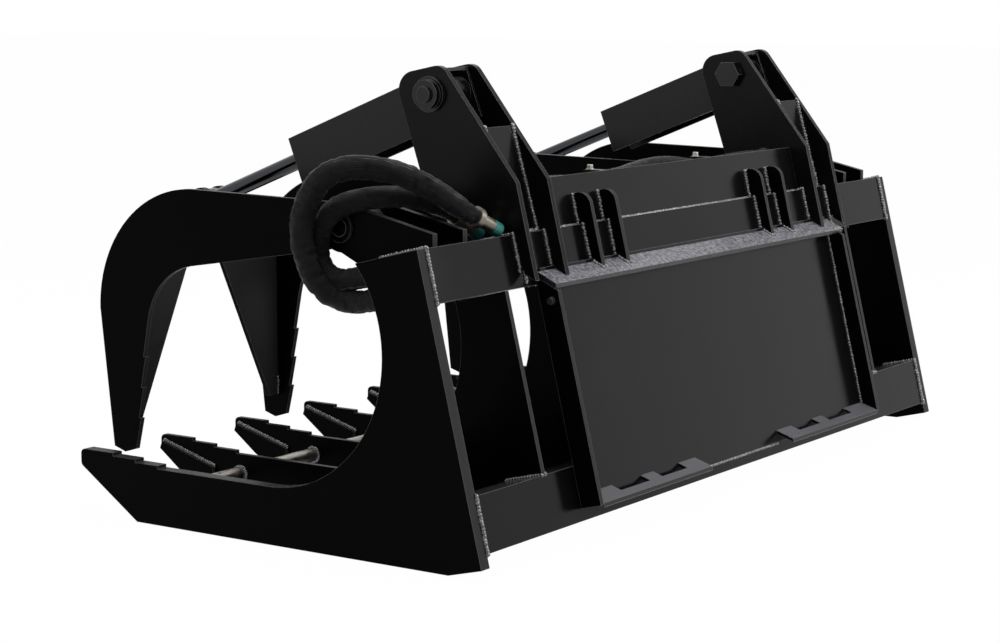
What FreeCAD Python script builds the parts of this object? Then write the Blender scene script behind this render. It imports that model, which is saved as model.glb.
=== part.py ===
import FreeCAD, Part
import Sketcher
import math
import os

# A root grapple for a skid steer loader: nine toothed tines under a welded frame,
# two clamps that close onto them, one cylinder to each clamp, and the loader's
# quick attach plate behind. X runs across, Y forwards to the tine tips, Z up.
# Side views are drawn as (out, up): forwards from where the attach plane meets
# the ground, and up from the ground. The frame leans back by one angle, and its
# pieces are drawn as (along, deep): up the lean, and square off the attach plane.

SIZES = {
    "width": 1829.0,
    "lean": 13.8,
    "gap": 0.3,
    "run_gap": 0.1,
    "side_thick": 25.0,
    "tine_thick": 10.0,
    "tine_setback": 43.2,
    "heel_along": 29.0,
    "heel_out": 119.0,
    "tine_heel_out": 218.0,
    "chin_out": 843.0,
    "tip_out": 985.0,
    "tip_thick": 31.0,
    "tooth_out": 902.0,
    "tooth_pitch": 56.5,
    "tooth_rise": 6.0,
    "nose_round": 10.0,
    "tongue_top": 108.0,
    "inner_drop": 9.5,
    "inner_reach": 7.0,
    "tine_neck": 14.1,
    "mouth_radius": 258.0,
    "tie_out": 784.0,
    "tie_up": 60.0,
    "tie_radius": 14.0,
    "top_beam_along": 491.0,
    "top_beam_tall": 97.0,
    "top_beam_deep": 100.0,
    "low_beam_along": 53.0,
    "low_beam_tall": 102.0,
    "low_beam_deep": 76.0,
    "beam_wall": 6.0,
    "attach_width": 1160.0,
    "face_thick": 8.0,
    "face_low": 76.0,
    "face_top": 520.0,
    "flange_thick": 10.0,
    "lip_rear": 485.6,
    "lip_front": 514.0,
    "lip_thick": 10.0,
    "lock_rear": 79.0,
    "lock_front": 101.0,
    "lock_thick": 8.0,
    "lock_end": 170.0,
    "lock_strip": 16.0,
    "pin_slot_near": 235.0,
    "pin_slot_far": 330.0,
    "relief_near": 375.0,
    "relief_far": 480.0,
    "upper_deep": 54.0,
    "upper_thick": 10.0,
    "upper_tall": 96.0,
    "rib_tall": 60.0,
    "rib_deep": 18.0,
    "rib_thick": 10.0,
    "rib_round": 26.0,
    "clamp_mid": 566.5,
    "claw_spread": 228.5,
    "claw_thick": 10.0,
    "pivot_ahead": 259.7,
    "pivot_over": 9.0,
    "arm_round": 38.0,
    "crown_out": 793.0,
    "crown_up": 382.0,
    "crown_radius": 243.0,
    "claw_tip_out": 1006.0,
    "claw_tip_up": 110.0,
    "claw_point_out": 978.0,
    "claw_point_up": 101.0,
    "claw_heel_out": 949.0,
    "barb_low": 172.0,
    "barb_pitch": 61.0,
    "barb_out": 934.0,
    "barb_slope": 7.5,
    "barb_step": 6.0,
    "crook_out": 891.5,
    "crook_up": 463.7,
    "crook_round": 135.0,
    "boss_radius": 32.0,
    "hinge_pin_radius": 16.0,
    "ear_gap": 39.0,
    "ear_thick": 12.0,
    "ear_round": 45.0,
    "ear_behind": 57.7,
    "ear_lap": 68.0,
    "collar_thick": 6.0,
    "collar_radius": 27.0,
    "head_thick": 18.0,
    "hex_across": 52.0,
    "tower_gap": 45.0,
    "tower_thick": 12.0,
    "tower_deep": 14.0,
    "tower_kink_tall": 89.7,
    "tower_crest_ahead": 199.7,
    "tower_crest_over": 292.0,
    "tower_crest_round": 26.0,
    "tower_brow_ahead": 307.7,
    "tower_brow_over": 270.0,
    "tower_brow_round": 36.0,
    "tower_toe": 205.0,
    "tower_leg": 165.0,
    "tower_lap": 80.0,
    "web_top_over": 180.0,
    "web_thick": 10.0,
    "base_ahead": 224.7,
    "base_over": 237.0,
    "base_pin_radius": 15.0,
    "dip": 21.5,
    "pin_to_pin": 628.7,
    "barrel_radius": 33.0,
    "bore_radius": 25.4,
    "bore_start": 60.0,
    "gland_start": 318.0,
    "barrel_end": 350.0,
    "rod_radius": 16.0,
    "piston_start": 285.0,
    "piston_long": 25.0,
    "eye_radius": 30.0,
    "eye_half": 30.0,
    "rod_eye_radius": 25.0,
    "rod_pin_radius": 12.5,
    "rod_head_thick": 12.0,
    "rod_hex_across": 38.0,
    "lug_radius": 28.0,
    "lug_gap": 20.0,
    "lug_thick": 12.0,
    "lug_foot": 475.0,
    "lug_step": 30.0,
    "shield_out": 970.0,
    "shield_thick": 10.0,
    "shield_top": 520.0,
    "shield_apex": 470.0,
    "shield_apex_half": 43.0,
    "shield_toe": 150.0,
    "shield_toe_half": 197.0,
    "guard_half": 42.0,
    "guard_wall": 6.0,
    "guard_back": 30.0,
    "guard_front": 360.0,
    "guard_over": 33.5,
    "guard_under": 58.0,
    "hose_radius": 19.0,
    "port_long": 30.0,
    "port_nut": 12.0,
    "port_radius": 15.0,
    "ferrule_radius": 19.5,
    "coupler_long": 48.0,
    "coupler_radius": 13.0,
    "cap_long": 20.0,
    "cap_radius": 13.5,
    "cross_hose_radius": 14.0,
    "cross_port_radius": 12.0,
    "cross_ferrule_radius": 15.0,
    "clamp_half": 12.0,
    "clamp_deep": 21.0,
    "clamp_cover": 4.0,
}
TINE_COUNT = 7
TEETH = 3
BARBS = 3

# Each hose's port, by its place up from the beam's underside, then its route from the
# coupler on, as (across, ahead, over) from the beam's mark. Two more points at its end
# come from the port itself.
HOSE_ROUTES = [
    (28.0, [(-697, 74.7, 27.1), (-738, 81.7, 47.1), (-785, 100.7, 81), (-836, 141.7, 113),
             (-878, 203.7, 124), (-894, 273.7, 109), (-895, 317.7, 57), (-895, 331.7, -2),
             (-893, 316.7, -57), (-885, 285.7, -97), (-868, 243.7, -121)]),
    (72.0, [(-697, 115.2, 25.9), (-733, 122.7, 50.6), (-776, 141.7, 78), (-822, 175.7, 92),
             (-850, 217.7, 94), (-866, 269.7, 77), (-867.5, 294.7, 35), (-867.5, 302.7, -10),
             (-867, 284.7, -54), (-867, 245.7, -75)]),
]
HOSE_SHARE = 0.45
HOSE_STRAIGHT = 40.0
CROSS_ROUTE = [
    (-421, 125.7, 63), (-362, 123.7, 62), (-300, 123.7, 59), (-238, 125.7, 58), (-178, 125.7, 58),
    (-115, 127.7, 62), (-55, 129.7, 69), (10, 128.7, 74), (75, 127.7, 73), (130, 127.7, 65),
    (182, 125.7, 58), (240, 125.7, 58), (300, 127.7, 60), (362, 126.7, 63), (421, 125.7, 63)]
CROSS_CLAMP = 208.0

doc = FreeCAD.newDocument("RootGrapple")
sheet = doc.addObject("Spreadsheet::Sheet", "Sizes")
for row, (name, number) in enumerate(SIZES.items(), start=1):
    sheet.set(f"A{row}", name)
    sheet.set(f"B{row}", str(number))
    sheet.setAlias(f"B{row}", name)
doc.recompute()


class Dim:
    """A size that knows its number now and the sheet formula it comes from."""

    def __init__(self, number, formula):
        self.number = float(number)
        self.formula = formula

    def __add__(self, other):
        other = dim(other)
        return Dim(self.number + other.number, f"({self.formula} + {other.formula})")

    def __radd__(self, other):
        return dim(other) + self

    def __sub__(self, other):
        other = dim(other)
        return Dim(self.number - other.number, f"({self.formula} - {other.formula})")

    def __rsub__(self, other):
        return dim(other) - self

    def __mul__(self, other):
        other = dim(other)
        return Dim(self.number * other.number, f"({self.formula} * {other.formula})")

    def __rmul__(self, other):
        return dim(other) * self

    def __truediv__(self, other):
        other = dim(other)
        return Dim(self.number / other.number, f"({self.formula} / {other.formula})")

    def __neg__(self):
        return Dim(-self.number, f"(-1 * {self.formula})")


def dim(value):
    """A plain number, or the name of a cell in the sheet, as a Dim."""
    if isinstance(value, Dim):
        return value
    if isinstance(value, str):
        return Dim(SIZES[value], f"Sizes.{value}")
    return Dim(value, repr(float(value)))


def root(value):
    return Dim(math.sqrt(value.number), f"sqrt({value.formula})")


def sine(name):
    return Dim(math.sin(math.radians(SIZES[name])), f"sin(Sizes.{name} * 1 deg)")


def cosine(name):
    return Dim(math.cos(math.radians(SIZES[name])), f"cos(Sizes.{name} * 1 deg)")


def leaned(along, deep):
    """(out, up) of a point given up the lean and square off the attach plane."""
    along, deep = dim(along), dim(deep)
    out = along * sine("lean") + deep * cosine("lean")
    up = along * cosine("lean") - deep * sine("lean")
    return out, up


# The row's origin stands on the ground under the middle of the whole length.
rear_most = leaned(dim("lock_rear") - "lock_thick", 0)[0]
middle_out = (rear_most + "crown_out" + "crown_radius") / 2

# The upper frame is placed from the beam's mark: where the plane of the beam's top
# meets the attach plane. Places from it are (ahead, over).
upper_foot = dim("top_beam_along") + "top_beam_tall"
mark_out, mark_up = leaned(upper_foot, 0)
beam_front = dim("tine_setback") + "top_beam_deep" + "gap"


def marked(ahead, over):
    """(out, up) of a point given ahead of the beam's mark and over it."""
    return mark_out + ahead, mark_up + over


pivot = marked("pivot_ahead", "pivot_over")
base = marked("base_ahead", "base_over")


def origin_plane(body, role):
    for feature in body.Origin.OriginFeatures:
        if feature.Role == role:
            return feature
    raise ValueError(role)


def new_sketch(body, role, name):
    sketch = body.newObject("Sketcher::SketchObject", name)
    sketch.AttachmentSupport = [(origin_plane(body, role), "")]
    sketch.MapMode = "FlatFace"
    return sketch


def hold(sketch, kind, geometry, point, value):
    """Fix one coordinate of a sketch point to a formula on the sheet."""
    index = sketch.addConstraint(Sketcher.Constraint(kind, -1, 1, geometry, point, value.number))
    sketch.setExpression(f"Constraints[{index}]", value.formula)


def draw_loop(sketch, corners, arcs=None):
    """A closed outline. arcs maps a corner's number to the centre of the arc that
    leaves it, and whether it runs clockwise; that arc's far end keeps one freedom."""
    arcs = arcs or {}
    start = sketch.GeometryCount
    count = len(corners)
    corners = [(dim(a), dim(b)) for a, b in corners]
    points = [FreeCAD.Vector(a.number, b.number, 0) for a, b in corners]
    ends = []
    for index in range(count):
        here, there = points[index], points[(index + 1) % count]
        if index in arcs:
            centre, clockwise = arcs[index]
            middle = FreeCAD.Vector(dim(centre[0]).number, dim(centre[1]).number, 0)
            radius = (here - middle).Length
            first, last = (there, here) if clockwise else (here, there)
            low = math.atan2(first.y - middle.y, first.x - middle.x)
            high = math.atan2(last.y - middle.y, last.x - middle.x)
            if high <= low:
                high += 2 * math.pi
            circle = Part.Circle(middle, FreeCAD.Vector(0, 0, 1), radius)
            sketch.addGeometry(Part.ArcOfCircle(circle, low, high), False)
            ends.append((2, 1) if clockwise else (1, 2))
        else:
            sketch.addGeometry(Part.LineSegment(here, there), False)
            ends.append((1, 2))
    for index in range(count):
        following = (index + 1) % count
        sketch.addConstraint(Sketcher.Constraint(
            "Coincident", start + index, ends[index][1], start + following, ends[following][0]))
    for index, (out, up) in enumerate(corners):
        before = (index - 1) % count
        across = level = True
        if before in arcs:
            centre = arcs[before][0]
            across = abs(up.number - dim(centre[1]).number) > abs(out.number - dim(centre[0]).number)
            level = not across
        if across:
            hold(sketch, "DistanceX", start + index, ends[index][0], out)
        if level:
            hold(sketch, "DistanceY", start + index, ends[index][0], up)
        if index in arcs:
            centre = arcs[index][0]
            hold(sketch, "DistanceX", start + index, 3, dim(centre[0]))
            hold(sketch, "DistanceY", start + index, 3, dim(centre[1]))


def draw_circle(sketch, centre, radius):
    out, up, radius = dim(centre[0]), dim(centre[1]), dim(radius)
    circle = Part.Circle(FreeCAD.Vector(out.number, up.number, 0), FreeCAD.Vector(0, 0, 1), radius.number)
    index = sketch.addGeometry(circle, False)
    if (out.number, up.number) == (0.0, 0.0):
        sketch.addConstraint(Sketcher.Constraint("Coincident", index, 3, -1, 1))
    else:
        hold(sketch, "DistanceX", index, 3, out)
        hold(sketch, "DistanceY", index, 3, up)
    constraint = sketch.addConstraint(Sketcher.Constraint("Radius", index, radius.number))
    sketch.setExpression(f"Constraints[{constraint}]", radius.formula)


def new_body(label):
    body = doc.addObject("PartDesign::Body", label)
    body.Label = label
    return body


def pad(body, sketch, length, name, both_ways=False):
    feature = body.newObject("PartDesign::Pad", name)
    feature.Profile = sketch
    length = dim(length)
    feature.setExpression("Length", length.formula)
    if both_ways:
        feature.Midplane = True
    sketch.Visibility = False
    body.Tip = feature
    return feature


def round_corners(body, corners, radius, name):
    """Round the edges that run across X over the given (out, up) corners."""
    doc.recompute()
    carrier = body.Tip
    names = []
    for number, edge in enumerate(carrier.Shape.Edges, start=1):
        if len(edge.Vertexes) != 2:
            continue
        near, far = edge.Vertexes[0].Point, edge.Vertexes[1].Point
        if abs(near.x - far.x) < 0.5 or abs(near.y - far.y) > 0.01 or abs(near.z - far.z) > 0.01:
            continue
        for out, up in corners:
            if abs(near.y - dim(out).number) < 0.05 and abs(near.z - dim(up).number) < 0.05:
                names.append(f"Edge{number}")
    if len(names) < len(corners):
        raise RuntimeError(f"{name} found {len(names)} of {len(corners)} edges")
    fillet = body.newObject("PartDesign::Fillet", name)
    fillet.Base = (carrier, names)
    fillet.setExpression("Radius", dim(radius).formula)
    body.Tip = fillet
    return fillet


def place(item, across, out=0.0, up=0.0):
    """Put a piece at its place across, forwards from the row's origin and up."""
    item.setExpression("Placement.Base.x", dim(across).formula)
    item.setExpression("Placement.Base.y", (dim(out) - middle_out).formula)
    item.setExpression("Placement.Base.z", dim(up).formula)


def slab(label, corners, thick, across, arcs=None, holes=()):
    """A plate or tube whose side view is drawn and which runs across X."""
    body = new_body(label)
    sketch = new_sketch(body, "YZ_Plane", f"{label}_side")
    draw_loop(sketch, corners, arcs)
    for hole in holes:
        if len(hole) == 2:
            draw_circle(sketch, *hole)
        else:
            draw_loop(sketch, hole)
    pad(body, sketch, thick, f"{label}_pad")
    place(body, across)
    return body


def group(label, members):
    """Like pieces that share one node, each still a solid of its own."""
    compound = doc.addObject("Part::Compound", label)
    compound.Label = label
    compound.Links = members
    return compound


SIDES = {"left": -1, "right": 1}
parts = []


# The tines. Each has the same side view: a flat sole, a rising toothed tongue, and
# a back that is one round bite, so that roots roll up into the clamps. The inner ones
# lie a little lower than the side plates and reach a little further.

def tine_side(notched):
    reach = dim("mouth_radius")
    teeth = []
    flat = dim("tongue_top") - ("inner_drop" if notched else 0)
    further = dim("inner_reach" if notched else 0)
    for tooth in range(TEETH):
        out = dim("tooth_out") + further - dim("tooth_pitch") * tooth
        teeth.append((out, flat + dim("tooth_rise") * (TEETH - tooth)))
        teeth.append((out, flat + dim("tooth_rise") * (TEETH - 1 - tooth)))
    beam_corner = leaned("top_beam_along", beam_front)
    mouth_up = flat + reach
    climb = beam_corner[1] - mouth_up
    mouth_out = beam_corner[0] + "tine_neck" + root(reach * reach - climb * climb)
    centre_along = mouth_out * sine("lean") + mouth_up * cosine("lean")
    centre_deep = mouth_out * cosine("lean") - mouth_up * sine("lean")
    rise = upper_foot - centre_along
    brow_deep = centre_deep - root(reach * reach - rise * rise)
    nose = (further + "tip_out", flat + dim("tooth_rise") * TEETH)
    corners = [(nose[0], nose[1] - "tip_thick"), nose] + teeth
    bite = len(corners)
    corners.append((mouth_out, flat))
    corners.append(leaned(upper_foot, brow_deep))
    if notched:
        under = dim("top_beam_along") - "gap"
        corners += [leaned(upper_foot, beam_front), leaned(under, beam_front),
                    leaned(under, "tine_setback")]
        low_top = dim("low_beam_along") + "low_beam_tall" + "gap"
        low_front = dim("tine_setback") + "low_beam_deep" + "gap"
        corners += [leaned(low_top, "tine_setback"), leaned(low_top, low_front),
                    leaned("low_beam_along", low_front), (dim("tine_heel_out"), dim(0))]
    else:
        corners += [leaned(upper_foot, "tine_setback"), leaned("heel_along", "tine_setback"),
                    (dim("heel_out"), dim(0))]
    corners.append((dim("chin_out"), dim(0)))
    arcs = {bite: ((mouth_out, mouth_up), True)}
    return corners, arcs, nose


tie_hole = ((dim("tie_out"), dim("tie_up")), dim("tie_radius") + "gap")
pitch = (dim("width") - "side_thick") / (TINE_COUNT + 1)
for number in range(1, TINE_COUNT + 1):
    corners, arcs, nose = tine_side(True)
    across = pitch * (number - (TINE_COUNT + 1) / 2) - dim("tine_thick") / 2
    tine = slab(f"tine_{number}", corners, "tine_thick", across, arcs, [tie_hole])
    round_corners(tine, [nose, corners[0]], "nose_round", f"tine_{number}_nose")
    parts.append(tine)

for side, sign in SIDES.items():
    corners, arcs, nose = tine_side(False)
    across = -dim("width") / 2 if sign < 0 else dim("width") / 2 - "side_thick"
    plate = slab(f"side_plate_{side}", corners, "side_thick", across, arcs)
    round_corners(plate, [nose, corners[0]], "nose_round", f"side_plate_{side}_nose")
    parts.append(plate)

inside = dim("width") - dim("side_thick") * 2


def beam(label, along, tall, deep):
    """A rectangular tube between the side plates, leaning with the frame."""
    back = dim("tine_setback")
    corners = [leaned(along, back), leaned(dim(along) + tall, back),
               leaned(dim(along) + tall, back + deep), leaned(along, back + deep)]
    wall = dim("beam_wall")
    low, high = dim(along) + wall, dim(along) + tall - wall
    near, far = back + wall, back + deep - wall
    bore = [leaned(low, near), leaned(high, near), leaned(high, far), leaned(low, far)]
    return slab(label, corners, inside, -inside / 2, holes=[bore])


parts.append(beam("upper_beam", "top_beam_along", "top_beam_tall", "top_beam_deep"))
parts.append(beam("lower_beam", "low_beam_along", "low_beam_tall", "low_beam_deep"))

tie = new_body("tie_bar")
tie_sketch = new_sketch(tie, "YZ_Plane", "tie_bar_section")
draw_circle(tie_sketch, (dim("tie_out"), dim("tie_up")), "tie_radius")
pad(tie, tie_sketch, inside, "tie_bar_pad")
place(tie, -inside / 2)
parts.append(tie)


# The quick attach: a flat face plate between two flanges, a hooked lip on top that
# the loader's plate lifts under, and two lock plates below with its pin slots.

face_deep = dim("tine_setback") - "face_thick"
inner_half = dim("attach_width") / 2 - "flange_thick"
parts.append(slab("face_plate", [
    leaned("face_low", face_deep), leaned("face_top", face_deep),
    leaned("face_top", "tine_setback"), leaned("face_low", "tine_setback")],
    inner_half * 2, -inner_half))

lip_rise = dim("lip_front") - "lip_rear"
lip_slant = root(lip_rise * lip_rise + face_deep * face_deep)
lip_drop = dim("lip_thick") * lip_slant / face_deep
lip_back_deep = dim("lip_thick") * lip_rise / lip_slant
lip_back_along = dim("lip_rear") - dim("lip_thick") * face_deep / lip_slant
parts.append(slab("top_lip", [
    leaned("lip_rear", 0), leaned("lip_front", face_deep),
    leaned(dim("lip_front") - lip_drop, face_deep), leaned(lip_back_along, lip_back_deep)],
    "attach_width", -dim("attach_width") / 2))

under_slope = lip_rise / face_deep
flange_back = dim("lip_rear") - lip_drop
for side, sign in SIDES.items():
    across = -dim("attach_width") / 2 if sign < 0 else inner_half
    parts.append(slab(f"attach_flange_{side}", [
        leaned("face_low", 0), leaned(flange_back, 0),
        leaned(flange_back + under_slope * face_deep, face_deep),
        leaned(flange_back + under_slope * "tine_setback", "tine_setback"),
        leaned("face_low", "tine_setback")],
        "flange_thick", across))

lock_slope = (dim("lock_front") - "lock_rear") / face_deep
for side, sign in SIDES.items():
    length = inner_half - "lock_end"
    across = -inner_half if sign < 0 else dim("lock_end")
    lock = slab(f"lock_plate_{side}", [
        leaned("lock_rear", 0), leaned("lock_front", face_deep),
        leaned(dim("lock_front") - "lock_thick", face_deep), leaned(dim("lock_rear") - "lock_thick", 0)],
        length, across)
    cut_sketch = new_sketch(lock, "XY_Plane", f"lock_plate_{side}_slots")
    edge = leaned(dim("lock_rear") + lock_slope * "lock_strip", "lock_strip")[0]
    beyond = leaned("lock_front", "tine_setback")[0] + "tine_setback"
    for near, far in (("pin_slot_near", "pin_slot_far"), ("relief_near", "relief_far")):
        low = (inner_half - far) if sign < 0 else (dim(near) - "lock_end")
        high = (inner_half - near) if sign < 0 else (dim(far) - "lock_end")
        draw_loop(cut_sketch, [(low, edge), (high, edge), (high, beyond), (low, beyond)])
    cut = lock.newObject("PartDesign::Pocket", f"lock_plate_{side}_cut")
    cut.Profile = cut_sketch
    cut.Type = "ThroughAll"
    cut.Reversed = True
    lock.Tip = cut
    parts.append(lock)

upper_half = dim("clamp_mid") - "tower_gap" - "tower_thick"
upper_front = dim("upper_deep") + "upper_thick"
upper_top = upper_foot + "upper_tall"
parts.append(slab("upper_plate", [
    leaned(upper_foot, "upper_deep"), leaned(upper_top, "upper_deep"),
    leaned(upper_top, upper_front), leaned(upper_foot, upper_front)],
    upper_half * 2, -upper_half))

lip_at_rib = dim("lip_rear") + under_slope * "rib_deep"
rib_top = upper_foot + "rib_tall"
rib_corner = leaned(rib_top, "rib_deep")
rib_side = [
    leaned(lip_at_rib, "rib_deep"), rib_corner, leaned(rib_top, "upper_deep"),
    leaned(upper_foot, "upper_deep"), leaned(upper_foot, "tine_setback"),
    leaned("face_top", "tine_setback"), leaned("face_top", face_deep), leaned("lip_front", face_deep)]
inner_claw = dim("clamp_mid") - "claw_spread"
for side, sign in SIDES.items():
    pair = []
    for place_name, offset in (("in", -1), ("out", 1)):
        middle = (inner_claw + (dim("ear_gap") + dim("ear_thick") / 2) * offset) * sign
        rib = slab(f"rib_{side}_{place_name}", rib_side, "rib_thick", middle - dim("rib_thick") / 2)
        round_corners(rib, [rib_corner], "rib_round", f"rib_{side}_{place_name}_round")
        pair.append(rib)
    parts.append(group(f"rib_pair_{side}", pair))


# The towers carry the cylinders: two plates that sit astride the upper beam, with a
# web down their back.

lip_at_tower = dim("lip_rear") + under_slope * "tower_deep"
tower_foot = upper_foot - "tower_lap"
tower_kink = upper_foot + "tower_kink_tall"
beam_back = dim("tine_setback") - "gap"
tower_crest = marked("tower_crest_ahead", "tower_crest_over")
tower_brow = marked("tower_brow_ahead", "tower_brow_over")
tower_side = [
    leaned(lip_at_tower + "gap", "tower_deep"),
    leaned(tower_kink, "tower_deep"),
    tower_crest,
    tower_brow,
    leaned(upper_foot, "tower_toe"),
    leaned(tower_foot, "tower_leg"),
    leaned(tower_foot, beam_front),
    leaned(upper_foot + "gap", beam_front),
    leaned(upper_foot + "gap", beam_back),
    leaned(dim("face_top") + "gap", beam_back),
    leaned(dim("face_top") + "gap", face_deep - "gap"),
    leaned(dim("lip_front") + "gap", face_deep - "gap"),
]
base_hole = (base, dim("base_pin_radius") + "run_gap")
for side, sign in SIDES.items():
    for place_name, offset in (("inner", -1), ("outer", 1)):
        near = dim("clamp_mid") + dim("tower_gap") * offset
        low = near if offset > 0 else near - "tower_thick"
        across = low if sign > 0 else -(low + "tower_thick")
        tower = slab(f"tower_plate_{side}_{place_name}", tower_side, "tower_thick", across,
                     holes=[base_hole])
        round_corners(tower, [tower_crest], "tower_crest_round", f"tower_{side}_{place_name}_crest")
        round_corners(tower, [tower_brow], "tower_brow_round", f"tower_{side}_{place_name}_brow")
        parts.append(tower)

kink_out, kink_up = leaned(tower_kink, "tower_deep")
slant_out = tower_crest[0] - kink_out
slant_up = tower_crest[1] - kink_up
web_top_up = mark_up + "web_top_over"
web_share = (web_top_up - kink_up) / slant_up
web_top_out = kink_out + slant_out * web_share
web_foot = dim("lip_front") + "gap"
web_deep = dim("tower_deep") + "web_thick"
web_front = leaned(tower_kink, web_deep)
web_side = [
    leaned(dim("lip_rear") + under_slope * "tower_deep" + "gap", "tower_deep"),
    (kink_out, kink_up),
    (web_top_out, web_top_up),
    (web_top_out + "web_thick", web_top_up),
    web_front,
    leaned(dim("lip_rear") + under_slope * web_deep + "gap", web_deep),
]
for side, sign in SIDES.items():
    low = dim("clamp_mid") - "tower_gap"
    across = low if sign > 0 else -(dim("clamp_mid") + "tower_gap")
    parts.append(slab(f"tower_web_{side}", web_side, dim("tower_gap") * 2, across))


# Each clamp hinges at two claws. A claw's boss turns on a pin between two ears that
# stand on the upper beam.

beam_top_out, beam_top_up = leaned(upper_foot + "gap", 0)
ear_back = mark_out + "ear_behind"
plate_front = pivot[1] * sine("lean") / cosine("lean") + (upper_front + "gap") / cosine("lean")


def ear_side(back):
    """An ear stands astride the beam's front edge and wraps the hinge pin."""
    foot_up = beam_top_up - (back - beam_top_out) * sine("lean") / cosine("lean")
    return [
        leaned(upper_foot - "ear_lap", beam_front),
        leaned(upper_foot + "gap", beam_front),
        (back, foot_up),
        (back, pivot[1]),
        (pivot[0], pivot[1] + "ear_round"),
        (pivot[0], pivot[1] - "ear_round"),
    ]


ear_arcs = {4: (pivot, True)}
hinge_hole = (pivot, dim("hinge_pin_radius") + "run_gap")
hinges = {}
for side, sign in SIDES.items():
    for place_name, offset in (("inner", -1), ("outer", 1)):
        middle = (dim("clamp_mid") + dim("claw_spread") * offset) * sign
        hinges[(side, place_name)] = middle
        outline = ear_side(ear_back if place_name == "outer" else plate_front)
        low = slab(f"ear_{side}_{place_name}_a", outline, "ear_thick",
                   middle - "ear_gap" - "ear_thick", ear_arcs, [hinge_hole])
        high = slab(f"ear_{side}_{place_name}_b", outline, "ear_thick",
                    middle + "ear_gap", ear_arcs, [hinge_hole])
        parts.append(group(f"hinge_ears_{side}_{place_name}", [low, high]))


def claw_side():
    corners = [
        (pivot[0], pivot[1] - "arm_round"),
        (pivot[0], pivot[1] + "arm_round"),
        (dim("crown_out"), dim("crown_up") + "crown_radius"),
        (dim("crown_out") + "crown_radius", dim("crown_up")),
        (dim("claw_tip_out"), dim("claw_tip_up")),
        (dim("claw_point_out"), dim("claw_point_up")),
        (dim("claw_heel_out"), dim("claw_tip_up")),
    ]
    for barb in range(BARBS):
        out = dim("barb_out") - dim("barb_slope") * barb
        up = dim("barb_low") + dim("barb_pitch") * barb
        corners += [(out, up), (out + "barb_step", up)]
    corners.append((dim("crook_out"), dim("crook_up")))
    arcs = {0: (pivot, True),
            2: ((dim("crown_out"), dim("crown_up")), True)}
    return corners, arcs


for (side, place_name), middle in hinges.items():
    corners, arcs = claw_side()
    claw = slab(f"claw_{side}_{place_name}", corners, "claw_thick", middle - dim("claw_thick") / 2, arcs)
    round_corners(claw, [corners[-1]], "crook_round", f"claw_{side}_{place_name}_crook")
    boss_sketch = new_sketch(claw, "YZ_Plane", f"claw_{side}_{place_name}_boss_ring")
    draw_circle(boss_sketch, pivot, "boss_radius")
    boss_sketch.setExpression("AttachmentOffset.Base.z", (dim("claw_thick") / 2).formula)
    boss_length = (dim("ear_gap") - "gap") * 2
    pad(claw, boss_sketch, boss_length, f"claw_{side}_{place_name}_boss", both_ways=True)
    bore_sketch = new_sketch(claw, "YZ_Plane", f"claw_{side}_{place_name}_bore_ring")
    draw_circle(bore_sketch, pivot, dim("hinge_pin_radius") + "run_gap")
    bore = claw.newObject("PartDesign::Pocket", f"claw_{side}_{place_name}_bore")
    bore.Profile = bore_sketch
    bore.Type = "ThroughAll"
    bore.Midplane = True
    claw.Tip = bore
    parts.append(claw)


def turned(label, outline, hexagon=None, across="hex_across"):
    """A pin or bolt turned about its length; outline is (along, radius) corners."""
    body = new_body(label)
    sketch = new_sketch(body, "XY_Plane", f"{label}_half")
    draw_loop(sketch, outline)
    spin = body.newObject("PartDesign::Revolution", f"{label}_turn")
    spin.Profile = sketch
    spin.ReferenceAxis = (sketch, ["H_Axis"])
    spin.Angle = 360.0
    body.Tip = spin
    if hexagon:
        start, thick = dim(hexagon[0]), dim(hexagon[1])
        hex_sketch = new_sketch(body, "YZ_Plane", f"{label}_hexagon")
        flat = dim(across) / 2
        corner = flat / root(dim(0.75))
        draw_loop(hex_sketch, [
            (corner, dim(0)), (corner / 2, flat), (-corner / 2, flat),
            (-corner, dim(0)), (-corner / 2, -flat), (corner / 2, -flat)])
        hex_sketch.setExpression("AttachmentOffset.Base.z", start.formula)
        pad(body, hex_sketch, thick, f"{label}_head")
    return body


pins, collars = [], []
for (side, place_name), middle in hinges.items():
    sign = SIDES[side] * (1 if place_name == "outer" else -1)
    reach = dim("ear_gap") + "ear_thick"
    end = reach + "gap" + "collar_thick"
    head_start = -(reach + "head_thick") if sign > 0 else reach
    tail = (end if sign > 0 else -end)
    root_end = (-reach if sign > 0 else reach)
    first, last = (root_end, tail) if sign > 0 else (tail, root_end)
    pin = turned(f"hinge_pin_{side}_{place_name}", [
        (first, 0), (last, 0), (last, "hinge_pin_radius"), (first, "hinge_pin_radius")],
        (head_start, "head_thick"))
    place(pin, middle, *pivot)
    pins.append(pin)
    ring_low = (reach + "gap") if sign > 0 else -(reach + "gap" + "collar_thick")
    inner_radius = dim("hinge_pin_radius") + "run_gap"
    ring = turned(f"hinge_collar_{side}_{place_name}", [
        (ring_low, inner_radius), (ring_low + "collar_thick", inner_radius),
        (ring_low + "collar_thick", "collar_radius"), (ring_low, "collar_radius")])
    place(ring, middle, *pivot)
    collars.append(ring)
parts.append(group("hinge_pins", pins))
parts.append(group("hinge_collars", collars))

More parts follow.
